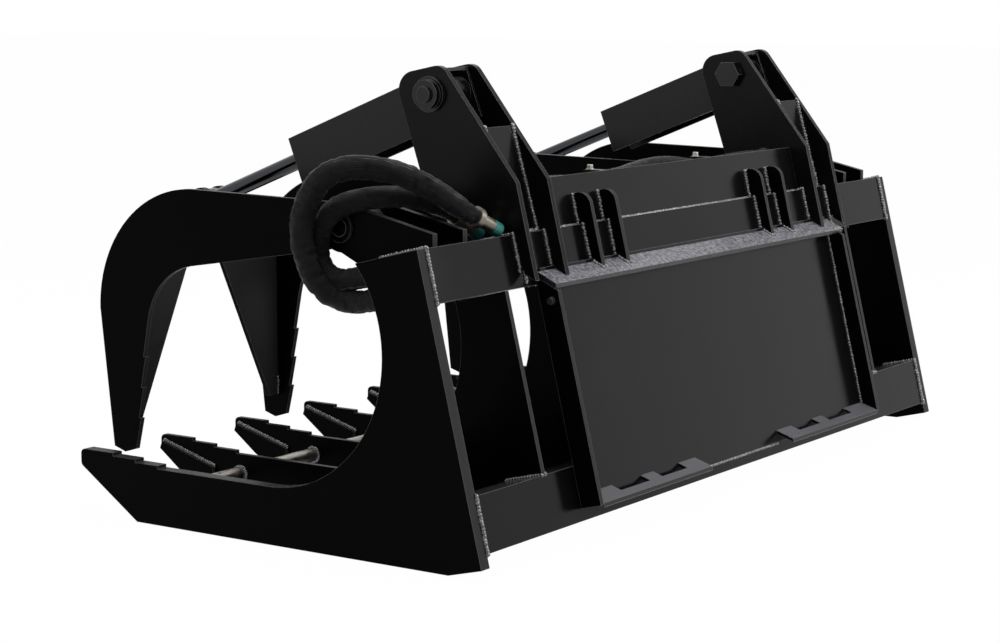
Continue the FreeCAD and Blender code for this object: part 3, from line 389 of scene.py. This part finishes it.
NODE_LOOKS = [
    ("face_plate", FACE), ("top_lip", LIP), ("upper_beam", TUBE), ("lower_beam", TUBE),
    ("upper_plate", FACE), ("tie_bar", BRIGHT), ("cylinder_rod", CHROME),
    ("cylinder_bolts", GLOSS), ("cylinder_nuts", GLOSS), ("rod_bolt", GLOSS),
    ("hose_ports", BOLT), ("hose_coupler", DULL), ("coupler_cap", TEAL), ("supply_hose", SLEEVE),
    ("cross_hose", SLEEVE),
    ("hose_clamps", PLATE), ("cylinder_barrel", TUBE), ("cylinder_guard", GUARD), ("tower_plate", FOLDED),
    ("lock_plate", LEDGE),
]


def dress(name, item):
    """Give a CAD node its material."""
    found = PLATE
    for start, material in NODE_LOOKS:
        if name.startswith(start):
            found = material
    item.data.materials.clear()
    item.data.materials.append(found)


for name, item in nodes.items():
    dress(name, item)
print("dressed", len(nodes), "nodes in", len(bpy.data.materials), "materials")

# %% [markdown]
# ## Small pieces
# Each added piece is made with bmesh operators, takes one material and rides on one body of the grapple. It
# could be a modifier on a stock shape, but then its size would hide in the modifier.

# %%
def finish_piece(name, mesh, material, body, smooth=True):
    """Turn a bmesh into an object that rides on a body."""
    data = bpy.data.meshes.new(name)
    mesh.to_mesh(data)
    mesh.free()
    for polygon in data.polygons:
        polygon.use_smooth = smooth
    data.materials.append(material)
    item = bpy.data.objects.new(name, data)
    scene.collection.objects.link(item)
    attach(item, body)
    print(name, len(data.polygons), "faces")
    return item


def square_to(direction):
    """A turn that takes the Z axis to a direction."""
    return Vector(direction).to_track_quat("Z", "Y").to_matrix().to_4x4()


def round_edges(mesh, edges, size):
    bmesh.ops.bevel(mesh, geom=edges, offset=size, segments=2, affect="EDGES",
                    profile=0.5, material=-1)


# %% [markdown]
# ## Beads and plates
# A weld bead is laid down drop by drop, so it is made that way: overlapping flattened
# drops in a row, each a little off line and off size. A plate is cut from sheet, so its
# side view is filled, drawn out to its thickness, and its edges are softened.

# %%
BEAD_STEP = 0.006  # ripples 6 mm apart


def add_bead(mesh, start, end, size):
    """One weld bead: a row of overlapping flattened drops from start to end."""
    start, end = Vector(start), Vector(end)
    run = end - start
    count = max(2, int(run.length / BEAD_STEP))
    turn = square_to(run)
    for step in range(count + 1):
        centre = start + run * (step / count)
        wobble = size * random.uniform(0.9, 1.12)
        shape = Matrix.Diagonal((wobble, wobble, BEAD_STEP * 0.95, 1.0))
        centre += Vector((random.uniform(-1, 1), random.uniform(-1, 1), 0)) * size * 0.08
        bmesh.ops.create_icosphere(mesh, subdivisions=1, radius=1.0,
                                   matrix=Matrix.Translation(centre) @ turn @ shape)


def welds(name, body, runs, size=0.0055):
    mesh = bmesh.new()
    for start, end in runs:
        add_bead(mesh, start, end, size)
    return finish_piece(name, mesh, WELD, body)


def add_plate(mesh, outline, across, thick):
    """A plate that stands across X: its side view, filled and drawn out to its thickness."""
    corners = [mesh.verts.new((across, out, up)) for out, up in outline]
    face = bmesh.ops.contextual_create(mesh, geom=corners)["faces"]
    drawn = bmesh.ops.extrude_face_region(mesh, geom=face)["geom"]
    moved = [part for part in drawn if isinstance(part, bmesh.types.BMVert)]
    bmesh.ops.translate(mesh, verts=moved, vec=(thick, 0, 0))


def plates(name, body, rows, material, soften=0.0008):
    """Plates with softened edges; rows are (outline, across, thick)."""
    mesh = bmesh.new()
    for outline, across, thick in rows:
        add_plate(mesh, outline, across, thick)
    bmesh.ops.recalc_face_normals(mesh, faces=mesh.faces)
    round_edges(mesh, mesh.edges[:], soften)
    return finish_piece(name, mesh, material, body, smooth=False)


# %% [markdown]
# ## Tower webs and wear shoes
# Each tower's web is one flat plate that stands on the beam and leans as the frame
# does, so that it sinks in between the tower plates from the top down. Each inner tine
# has a shoe of plate on both faces, under its tongue. They are plain cut plates, so
# each is a side view drawn out to its thickness.

# %%
WEB_FOOT = (0.5888, 0.0575)  # up the lean, and off the attach plane
WEB_HEAD = (0.7885, 0.066)
WEB_THICK = 0.010
WEB_HALF = 0.0448
for side, sign in SIDES:
    web = [leaned(*WEB_FOOT), leaned(*WEB_HEAD), leaned(WEB_HEAD[0], WEB_HEAD[1] + WEB_THICK),
           leaned(WEB_FOOT[0], WEB_FOOT[1] + WEB_THICK)]
    rows = [(web, sign * CLAMP_MID - WEB_HALF, 2 * WEB_HALF)]
    piece = plates(f"web_plate_{side}", "frame", rows, FACE)
    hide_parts(f"tower_web_{side}")

SHOE = [flat(*spot) for spot in ((0.9835, 0.1035), (0.851, 0.0660), (0.846, 0.0040),
                                 (0.931, 0.0460), (0.989, 0.0890))]
SHOE_THICK = 0.008
shoe_rows = []
for number in INNER_TINES:
    middle = number * TINE_PITCH
    shoe_rows.append((SHOE, middle - TINE_HALF - 0.0082, SHOE_THICK))
    shoe_rows.append((SHOE, middle + TINE_HALF + 0.0002, SHOE_THICK))
plates("wear_shoes", "frame", shoe_rows, PLATE)
print("webs and shoes:", len(shoe_rows), "shoes")

# %% [markdown]
# ## Weld beads on the towers and ribs
# Beads follow the seams, so each seam is named by its two ends on the steel: up the
# lean and off the attach plane. A curve with a bevel would give a smooth rod, and a
# bead has ripples.

# %%
BEAM_REAR = 0.0428  # the upper beam's rear face, off the attach plane
BEAM_FRONT = 0.1437
BEAM_TOP = 0.5885  # up the lean
INSIDE = 0.0445  # from a tower's middle to the beads within it
OUTSIDE = 0.0575


def at(across, point):
    return (across, point[0], point[1])


def seam(across, first, second):
    """A bead's two ends, at one place across the grapple."""
    return at(across, leaned(*first)), at(across, leaned(*second))


tower_runs = []
for sign in SIGNS:
    for offset in (-INSIDE, INSIDE):
        across = sign * CLAMP_MID + offset
        tower_runs.append(seam(across, WEB_FOOT, WEB_HEAD))
        tower_runs.append(seam(across, (0.500, BEAM_REAR), (0.586, BEAM_REAR)))
    foot = leaned(WEB_FOOT[0] + 0.001, WEB_FOOT[1] - 0.002)
    tower_runs.append((at(sign * CLAMP_MID - 0.044, foot), at(sign * CLAMP_MID + 0.044, foot)))
    for offset in (-OUTSIDE, OUTSIDE):
        across = sign * CLAMP_MID + offset
        tower_runs.append(seam(across, (0.522, 0.0425), (BEAM_TOP, 0.0425)))
        tower_runs.append(seam(across, (BEAM_TOP, 0.046), (BEAM_TOP, 0.142)))
        tower_runs.append(seam(across, (0.585, BEAM_FRONT), (0.512, BEAM_FRONT)))
welds("weld_towers", "frame", tower_runs)

RIB_MIDDLES = (0.293, 0.383)
PLATE_SIDE = 0.0055  # from the middle of a 10 mm plate to a bead beside it
rib_runs = []
for sign in SIGNS:
    for middle in RIB_MIDDLES:
        for offset in (-PLATE_SIDE, PLATE_SIDE):
            across = sign * middle + offset
            rib_runs.append(seam(across, (0.590, 0.0535), (0.645, 0.0535)))
            rib_runs.append(seam(across, (0.522, BEAM_REAR), (0.586, BEAM_REAR)))
            rib_runs.append(seam(across, (0.500, 0.0185), (0.513, 0.0340)))
welds("weld_ribs", "frame", rib_runs)

# %% [markdown]
# ## Weld beads on the attach plate, the beams and the tines
# The upper plate's bead stops at each rib. Each beam's end has a bead on three sides,
# and each tine is welded to both beams, its shoe and the tie bar.

# %%
UPPER_PLATE_RUNS = ((-0.508, -0.389), (-0.377, -0.299), (-0.287, 0.287), (0.299, 0.377), (0.389, 0.508))
plate_runs = []
for start, end in UPPER_PLATE_RUNS:
    plate_runs.append((at(start, leaned(0.5884, 0.0538)), at(end, leaned(0.5884, 0.0538))))
for sign in SIGNS:
    plate_runs.append(seam(sign * 0.5698, (0.09, 0.0348), (0.49, 0.0348)))
FOOT_RUN = 0.168
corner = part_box("face_plate")[0]
foot = (corner.y + 0.003, corner.z - 0.0005)
plate_runs.append((at(-FOOT_RUN, foot), at(FOOT_RUN, foot)))
welds("weld_attach", "frame", plate_runs, 0.004)

# %%
BEAM_ENDS = ((0.491, 0.588, 0.1432), (0.053, 0.155, 0.1192))  # underside, top and front
beam_runs = []
for sign in SIGNS:
    across = sign * 0.8890
    for low, high, front in BEAM_ENDS:
        beam_runs.append(seam(across, (low, BEAM_REAR), (high, BEAM_REAR)))
        beam_runs.append(seam(across, (high, 0.0435), (high, front)))
        beam_runs.append(seam(across, (high, front), (low, front)))
welds("weld_beam_ends", "frame", beam_runs)

tine_runs = []
for number in INNER_TINES:
    for offset in (-PLATE_SIDE, PLATE_SIDE):
        across = number * TINE_PITCH + offset
        tine_runs.append(seam(across, (0.1555, 0.044), (0.1555, 0.1192)))
        tine_runs.append(seam(across, (0.155, 0.1197), (0.056, 0.1197)))
        tine_runs.append(seam(across, (0.494, BEAM_FRONT), (0.586, BEAM_FRONT)))
        tine_runs.append((at(across, flat(0.980, 0.1045)), at(across, flat(0.853, 0.0680))))
welds("weld_tines", "frame", tine_runs)

# %% [markdown]
# ## Rings of weld
# The tie bar and the hinge bosses are round, so their beads are rings of short runs.

# %%
def ring_runs(across, point, radius, count=18):
    """A ring of short runs about a bar that lies along X."""
    spots = []
    for step in range(count + 1):
        turn = 2 * math.pi * step / count
        spots.append((across, point[0] + radius * math.cos(turn), point[1] + radius * math.sin(turn)))
    return list(zip(spots, spots[1:]))


tie = flat(0.784, 0.060)
tie_runs = []
for number in INNER_TINES:
    for offset in (-0.006, 0.006):
        tie_runs += ring_runs(number * TINE_PITCH + offset, tie, 0.0145)
welds("weld_tie_bar", "frame", tie_runs, 0.004)

# %% [markdown]
# ## Weld beads on the clamps
# The claws are tacked to the shield above and below its notch, and the rod's lugs
# stand on it. These beads ride on the clamps, so they turn with them.

# %%
pivot = flat(0.400, 0.580)
SHIELD_TACKS = ((0.155, 0.185), (0.470, 0.515))
for side, sign in SIDES:
    clamp_runs = []
    middle = sign * CLAMP_MID
    for way in SIGNS:
        across = middle + way * (CLAW_SPREAD - PLATE_SIDE)
        for low, high in SHIELD_TACKS:
            clamp_runs.append((at(across, flat(0.9695, low)), at(across, flat(0.9695, high))))
        lug = middle + way * 0.0325
        clamp_runs.append((at(lug, flat(0.9693, 0.480)), at(lug, flat(0.9693, 0.518))))
        for face in SIGNS:
            boss = middle + way * CLAW_SPREAD + face * PLATE_SIDE
            clamp_runs += ring_runs(boss, pivot, 0.0325, 28)
    welds(f"weld_clamp_{side}", f"clamp_{side}", clamp_runs, 0.004)

# %% [markdown]
# ## Hoses
# Each hose leaves its port, loops over the side plate and ends in its coupler. Its
# points are near those of the CAD, from the port outwards, in mm across, ahead of and
# over the top of the upper beam. A NURBS curve through them bends as rubber does, where
# straight runs with rounded corners would look like bent wire.

# %%
HOSE_RADIUS = 0.019  # over the sleeve
CROSS_HOSE_RADIUS = 0.014
MARK = (0.588, 0.0)  # the beam's top, up the lean and off the attach plane
PORT_MOUTH, NECK_END = 0.1732, 0.2132
PORTS = {"supply_hose_1": (-868, 519), "supply_hose_2": (-867, 563)}
SUPPLY_ROUTES = {
    "supply_hose_1": [
        (-868, 243.7, -119), (-885, 276.7, -97), (-894, 298.7, -57), (-895.5, 311.7, -2), (-895.5, 298.7, 57),
        (-894, 259.7, 107), (-878, 200.7, 124), (-836, 141.7, 113), (-785, 100.7, 81), (-738, 81.7, 47.1),
        (-697, 74.7, 27.1)],
    "supply_hose_2": [
        (-867, 245.7, -84), (-867, 281.7, -70), (-867.5, 297.7, -30), (-867.5, 285.7, 12), (-868, 256.7, 45),
        (-856, 212.7, 61), (-822, 174.7, 67), (-776, 141.7, 63), (-733, 122.7, 46), (-697, 115.2, 25.9)],
}
CROSS_ROUTE = [
    (-479.5, 125.7, 63), (-421, 125.7, 63), (-362, 123.7, 62), (-300, 123.7, 59), (-238, 125.7, 58),
    (-178, 125.7, 58), (-115, 127.7, 62), (-55, 129.7, 69), (10, 128.7, 74), (75, 127.7, 73),
    (130, 127.7, 65), (182, 125.7, 58), (240, 125.7, 58), (300, 127.7, 60), (362, 126.7, 63),
    (421, 125.7, 63), (479.5, 125.7, 63)]


def from_mark(route):
    """A route in millimetres across, ahead of and over the top of the upper beam."""
    out, up = leaned(*MARK)
    return [Vector((x / 1000, out + ahead / 1000, up + over / 1000)) for x, ahead, over in route]


def from_port(name):
    """The hose's first two points: in the port's mouth and straight out of its neck."""
    across, along = PORTS[name]
    return [Vector(at(across / 1000, leaned(along / 1000, deep))) for deep in (PORT_MOUTH, NECK_END)]


def smooth_path(points):
    """Points along a NURBS curve whose control points are the route's."""
    data = bpy.data.curves.new("route", "CURVE")
    data.dimensions = "3D"
    data.resolution_u = 16
    spline = data.splines.new("NURBS")
    spline.points.add(len(points) - 1)
    for spot, point in zip(spline.points, points):
        spot.co = (*point, 1.0)
    spline.order_u = 3
    spline.use_endpoint_u = True
    item = bpy.data.objects.new("route", data)
    scene.collection.objects.link(item)
    bpy.context.view_layer.update()
    mesh = bpy.data.meshes.new_from_object(item)
    found = [vertex.co.copy() for vertex in mesh.vertices]
    bpy.data.objects.remove(item)
    bpy.data.meshes.remove(mesh)
    return found


def evenly(points, step):
    """The same path with points an even step apart, and its length."""
    reach = [0.0]
    for first, second in zip(points, points[1:]):
        reach.append(reach[-1] + (second - first).length)
    count = int(reach[-1] / step)
    spots, index = [], 0
    for number in range(count + 1):
        target = reach[-1] * number / count
        while index < len(points) - 2 and reach[index + 1] < target:
            index += 1
        share = (target - reach[index]) / max(reach[index + 1] - reach[index], 1e-9)
        spots.append(points[index].lerp(points[index + 1], share))
    return spots, reach[-1]


# %% [markdown]
# ## Sleeves
# A sleeve is a flat strip of weave, sewn into a loose tube. It is made so: a grid with
# its own UV map is rolled round the hose's path, pushed in and out by its creases, slack
# and seam, laid a little flat under its own weight, and sewn at the meeting edges. A
# curve's round bevel would look like bare rubber.

# %%
RING = 48
RING_STEP = 0.0022


def sleeve_swell(along, turn, length, seed):
    """How far the loose sleeve stands from the hose's radius, as a share of it."""
    round_x, round_y = math.cos(turn), math.sin(turn)
    creases = noise.noise((along * 95 + seed * 7, round_x * 1.1, round_y * 1.1))
    slack = noise.noise((along * 22 + seed * 3, round_x * 1.6, round_y * 1.6))
    apart = (turn - RIDGE_TURN + math.pi) % (2 * math.pi) - math.pi
    waver = 0.16 * noise.noise((along * 40, seed, 0.0))
    ridge = math.exp(-((apart - waver) / 0.17) ** 2) * (0.55 + 0.9 * noise.noise((along * 60, 4.0, seed)))
    taper = min(1.0, 0.80 + 0.20 * (length - along) / 0.05)
    near_port = 0.05 * max(0.0, 1.0 - along / 0.12)
    return taper * (0.965 + near_port + 0.11 * creases - 0.05 * abs(creases) + 0.05 * slack + 0.10 * ridge)


def frames_along(spots):
    """Each spot with two directions square to the path, which turn no more than it does."""
    frames = []
    side = Vector((-1, 0, 0)) if abs((spots[1] - spots[0]).normalized().x) < 0.5 else Vector((0, 0, 1))
    for index, spot in enumerate(spots):
        ahead = (spots[min(index + 1, len(spots) - 1)] - spots[max(index - 1, 0)]).normalized()
        side = (side - ahead * side.dot(ahead)).normalized()
        frames.append((spot, side, ahead.cross(side)))
    return frames


def sleeved_hose(name, node, points, radius, flatness, seed):
    """A flat sheet of sleeve with its own UV map, rolled round the hose's path."""
    spots, length = evenly(smooth_path(points), RING_STEP)
    frames = frames_along(spots)
    mesh = bmesh.new()
    unrolled = mesh.loops.layers.uv.new("UVMap")
    bmesh.ops.create_grid(mesh, x_segments=len(spots) - 1, y_segments=RING, size=1.0, calc_uvs=True)
    for face in mesh.faces:
        for loop in face.loops:
            loop[unrolled].uv.x *= length / (2 * math.pi * radius)
    for vertex in mesh.verts:
        index = round((vertex.co.x + 1) / 2 * (len(spots) - 1))
        turn = (vertex.co.y + 1) * math.pi
        spot, side, up = frames[index]
        share = index / (len(spots) - 1)
        size = radius * sleeve_swell(length * share, turn, length, seed)
        lay_flat = flatness * math.sin(math.pi * share) ** 0.7
        sideways = side * math.cos(turn) * (1 - lay_flat / 2)
        upward = up * math.sin(turn) * (1 + lay_flat)
        vertex.co = spot + size * (sideways + upward)
    bmesh.ops.remove_doubles(mesh, verts=mesh.verts, dist=1e-6)
    bmesh.ops.holes_fill(mesh, edges=[edge for edge in mesh.edges if edge.is_boundary], sides=0)
    bmesh.ops.recalc_face_normals(mesh, faces=mesh.faces)
    item = finish_piece(name, mesh, SLEEVE, "frame")
    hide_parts(node)
    print(name, round(length * 1000), "mm")
    return item


# %%
for number, seed, flatness in ((1, 0.4, 0.24), (2, 2.1, 0.1)):
    node = f"supply_hose_{number}"
    sleeved_hose(f"sleeved_hose_{number}", node, from_port(node) + from_mark(SUPPLY_ROUTES[node]),
                 HOSE_RADIUS, flatness, seed)
sleeved_hose("sleeved_cross_hose", "cross_hose", from_mark(CROSS_ROUTE), CROSS_HOSE_RADIUS, 0.0,
             3.3)

# %% [markdown]
# ## Small fasteners
# A screw holds each flange and a bolt each clamp of the cross hose. A head is a
# six-sided cone with rounded edges on a washer. Threads are hidden, so there are none.

# %%
def hex_bolt(name, body, spot, facing, across, thick, material):
    """A bolt head with a rounded top on a thin washer."""
    mesh = bmesh.new()
    turn = Matrix.Translation(spot) @ square_to(facing)
    washer = across * 0.62
    bmesh.ops.create_cone(mesh, cap_ends=True, segments=32, radius1=washer, radius2=washer * 0.97,
                          depth=thick * 0.3, matrix=turn @ Matrix.Translation((0, 0, thick * 0.15)))
    head = bmesh.ops.create_cone(mesh, cap_ends=True, segments=6, radius1=across * 0.56,
                                 radius2=across * 0.54, depth=thick,
                                 matrix=turn @ Matrix.Translation((0, 0, thick * 0.8)))
    edges = [edge for edge in mesh.edges
             if edge.verts[0] in head["verts"] and edge.verts[1] in head["verts"]]
    round_edges(mesh, edges, across * 0.05)
    return finish_piece(name, mesh, material, body, smooth=False)


for side, sign in SIDES:
    out, up = leaned(0.457, 0.017)
    hex_bolt(f"flange_bolt_{side}", "frame", (sign * 0.580, out, up), (sign, 0, 0),
             0.013, 0.006, BOLT)
    low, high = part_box("hose_clamps")
    hex_bolt(f"clamp_bolt_{side}", "frame", (sign * 0.208, high.y - 0.007, high.z), (0, 0, 1),
             0.012, 0.007, BRIGHT)

# %% [markdown]
# ## Light, floor and camera
# The floor and the world are white only to the camera and in reflections, so that a
# white ground adds no light to the black steel. Three large soft lamps light it: one
# behind the grapple for the faces that the camera sees, one above and a weak one ahead.

# %%
WORLD_LIGHT = 0.14
FLOOR_WHITE = 0.985  # the rest of the floor's colour takes the shadow


def seen_rays(tree):
    """One for the camera's, glossy and transmission rays, and nought for the light's."""
    path = tree.nodes.new("ShaderNodeLightPath")
    seen = path.outputs["Is Camera Ray"]
    for kind in ("Is Glossy Ray", "Is Transmission Ray"):
        either = tree.nodes.new("ShaderNodeMath")
        either.operation = "MAXIMUM"
        tree.links.new(seen, either.inputs[0])
        tree.links.new(path.outputs[kind], either.inputs[1])
        seen = either.outputs[0]
    return seen


scene.view_settings.view_transform = "Standard"

world = bpy.data.worlds.new("studio")
scene.world = world
world.use_nodes = True
tree = world.node_tree
ground = tree.nodes["Background"]
ground.inputs["Color"].default_value = (0.9, 0.92, 0.95, 1)
ground.inputs["Strength"].default_value = WORLD_LIGHT
white = tree.nodes.new("ShaderNodeBackground")
white.inputs["Color"].default_value = (1, 1, 1, 1)
white.inputs["Strength"].default_value = 1.0
mix = tree.nodes.new("ShaderNodeMixShader")
tree.links.new(seen_rays(tree), mix.inputs["Fac"])
tree.links.new(ground.outputs[0], mix.inputs[1])
tree.links.new(white.outputs[0], mix.inputs[2])
tree.links.new(mix.outputs[0], tree.nodes["World Output"].inputs["Surface"])
print("world light", WORLD_LIGHT)

# %%
floor_mesh = bmesh.new()
bmesh.ops.create_grid(floor_mesh, x_segments=1, y_segments=1, size=30.0)
floor_data = bpy.data.meshes.new("floor")
floor_mesh.to_mesh(floor_data)
floor_mesh.free()
floor = bpy.data.objects.new("floor", floor_data)
floor.location.z = -0.0005
scene.collection.objects.link(floor)
floor_look = bpy.data.materials.new("pale_floor")
floor_look.use_nodes = True
tree = floor_look.node_tree
shader = tree.nodes["Principled BSDF"]
shader.inputs["Base Color"].default_value = linear("f2f2f0")
shader.inputs["Roughness"].default_value = 0.9
glow = tree.nodes.new("ShaderNodeEmission")
glow.inputs["Strength"].default_value = 1.0
blend = tree.nodes.new("ShaderNodeMixShader")
share = tree.nodes.new("ShaderNodeMath")
share.operation = "MULTIPLY"
share.inputs[1].default_value = FLOOR_WHITE
tree.links.new(seen_rays(tree), share.inputs[0])
tree.links.new(share.outputs[0], blend.inputs["Fac"])
tree.links.new(shader.outputs[0], blend.inputs[1])
tree.links.new(glow.outputs[0], blend.inputs[2])
tree.links.new(blend.outputs[0], tree.nodes["Material Output"].inputs["Surface"])
floor_data.materials.append(floor_look)
print("floor at", floor.location.z, "m")


# %%
def lamp(name, spot, aim, size, power):
    data = bpy.data.lights.new(name, "AREA")
    data.shape = "RECTANGLE"
    data.size, data.size_y = size
    data.energy = power
    item = bpy.data.objects.new(name, data)
    item.location = spot
    item.rotation_euler = (Vector(aim) - Vector(spot)).to_track_quat("-Z", "Y").to_euler()
    scene.collection.objects.link(item)


CENTRE = (0.0, 0.0, 0.4)
lamp("soft_box_back", (1.6, -4.2, 2.6), CENTRE, (3.4, 1.8), 170)
lamp("soft_box_top", (-0.2, 0.2, 4.2), CENTRE, (4.0, 3.0), 150)
lamp("soft_box_left", (-4.6, 2.4, 2.0), CENTRE, (1.2, 2.0), 14)
print(len(bpy.data.lights), "lamps")

# %% [markdown]
# ## Camera
# The camera's place and turn were solved from the photograph's straight edges. They
# are set as two directions and a spot, because angles would have to be read back.

# %%
camera_data = bpy.data.cameras.new("camera")
camera = bpy.data.objects.new("camera", camera_data)
scene.collection.objects.link(camera)
scene.camera = camera
camera_data.sensor_fit = "HORIZONTAL"
camera_data.sensor_width = 36.0
camera_data.lens = 85.1
camera_data.clip_end = 100.0
CAMERA_RIGHT = Vector((0.5651, -0.8250, 0.0))
CAMERA_UP = Vector((0.1182, 0.0810, 0.9897))
CAMERA_SPOT = Vector((-4.1349, -2.1954 - MIDDLE_OUT, 1.0164))
look_back = CAMERA_RIGHT.cross(CAMERA_UP)
camera.matrix_world = Matrix.Translation(CAMERA_SPOT) @ Matrix((
    CAMERA_RIGHT, CAMERA_UP, look_back)).transposed().to_4x4()
print("camera", round((CAMERA_SPOT - Vector(CENTRE)).length, 2), "m from the middle of the grapple")
